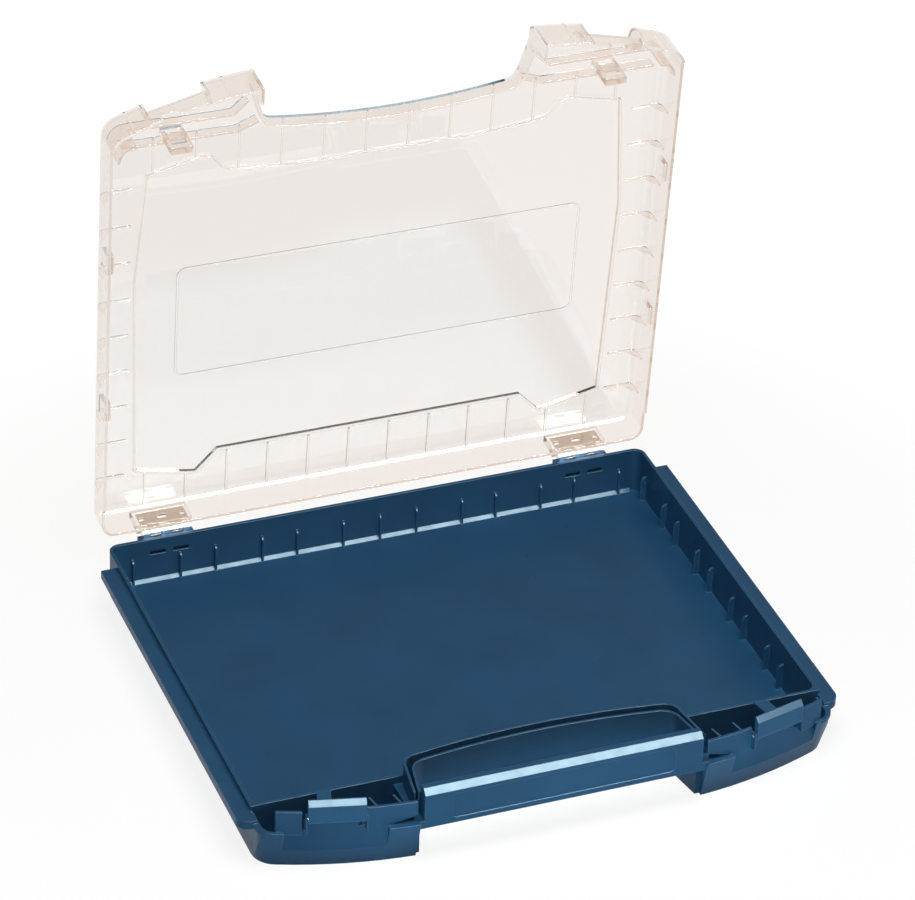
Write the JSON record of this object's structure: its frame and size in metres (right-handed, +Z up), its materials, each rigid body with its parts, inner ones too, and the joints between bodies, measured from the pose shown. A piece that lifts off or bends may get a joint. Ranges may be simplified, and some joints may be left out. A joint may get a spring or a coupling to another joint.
{
  "type": "tool case",
  "caption": "Flat carrying case with slide rails and a moulded carry handle, open, with a clear ribbed lid on steel hinges and a pull latch on each side of the handle.",
  "frame": {"origin": "middle of the tray's underside, midway between its two side walls", "axes": "+X to the right as seen from the handle, +Y towards the hinges, +Z up"},
  "size_m": [0.367, 0.3325, 0.3465],
  "materials": {
    "tray_blue": "fine-grained moulded blue",
    "latch_blue": "smooth moulded blue",
    "lid_clear": "clear polished",
    "hinge_steel": "bright zinc plated",
    "spring_steel": "drawn wire"
  },
  "bodies": {
    "base": {"base_tray": "tray_blue", "left_hinge_base_leaf": "hinge_steel", "right_hinge_base_leaf": "hinge_steel", "left_hinge_pin": "hinge_steel", "right_hinge_pin": "hinge_steel", "left_latch_pin": "hinge_steel", "right_latch_pin": "hinge_steel"},
    "lid": {"lid": "lid_clear", "left_hinge_lid_leaf": "hinge_steel", "right_hinge_lid_leaf": "hinge_steel"},
    "left_latch": {"left_latch": "latch_blue", "left_latch_spring": "spring_steel"},
    "right_latch": {"right_latch": "latch_blue", "right_latch_spring": "spring_steel"}
  },
  "joints": [
    {"name": "lid_hinge", "type": "hinge", "parent": "base", "child": "lid", "pos_m": [0, 0.154, 0.033], "axis": [1, 0, 0], "range_deg": [0, 85.2]},
    {"name": "left_latch_pull", "type": "hinge", "parent": "base", "child": "left_latch", "pos_m": [-0.13356, -0.14966, 0.0363], "axis": [0.9709, -0.2396, 0], "range_deg": [0, 21], "stiffness_Nm_per_rad": 0.08, "springref_deg": -17.19},
    {"name": "right_latch_pull", "type": "hinge", "parent": "base", "child": "right_latch", "pos_m": [0.13356, -0.14966, 0.0363], "axis": [0.9709, 0.2396, 0], "range_deg": [0, 21], "stiffness_Nm_per_rad": 0.08, "springref_deg": -17.19}
  ]
}
